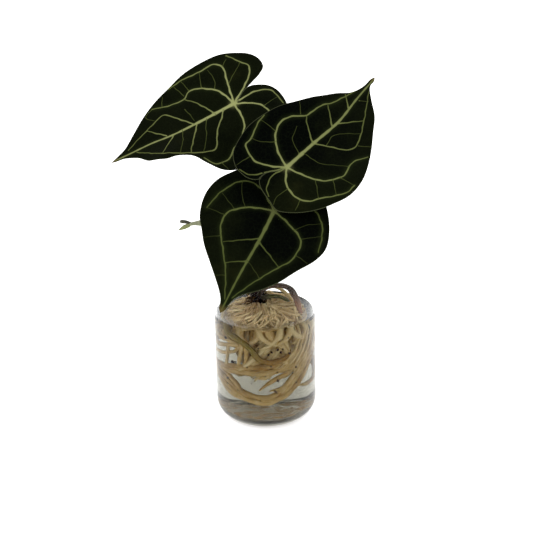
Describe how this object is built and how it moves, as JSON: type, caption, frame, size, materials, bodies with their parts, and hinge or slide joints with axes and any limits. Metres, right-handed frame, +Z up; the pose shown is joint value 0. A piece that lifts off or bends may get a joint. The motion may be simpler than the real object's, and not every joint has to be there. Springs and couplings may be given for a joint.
{
  "type": "potted anthurium in a glass cylinder of water",
  "caption": "Clear glass cylinder of water holding a velvet-leaved anthurium by its bare roots, with heart-shaped dark green leaves veined in pale green.",
  "frame": {"origin": "centre of the glass's flat base, on the surface it stands on", "axes": "+Z up; the plant's front is towards -Y, with +X to its right"},
  "size_m": [0.2614, 0.2266, 0.3406],
  "materials": {
    "glass": "clear, glossy",
    "water": "clear liquid",
    "root": "moist, slightly waxy, cream to tan",
    "aerial_root": "satin purple-brown",
    "green_root": "satin olive green",
    "crown": "papery, dark purple-brown",
    "petiole": "satin green",
    "leaf": "velvety green-black with pale green veins",
    "flower_stalk": "matt grey-green",
    "flower_bract": "matt green",
    "flower_spadix": "matt dark grey"
  },
  "bodies": {
    "root": {"glass_vase": "glass", "water": "water", "roots": "root", "aerial_root": "aerial_root", "green_root": "green_root", "crown": "crown", "petiole_back": "petiole", "petiole_right": "petiole", "petiole_front": "petiole", "leaf_back": "leaf", "leaf_right": "leaf", "leaf_front": "leaf", "flower_stalk": "flower_stalk", "flower_bract": "flower_bract", "flower_spadix": "flower_spadix"}
  },
  "joints": []
}
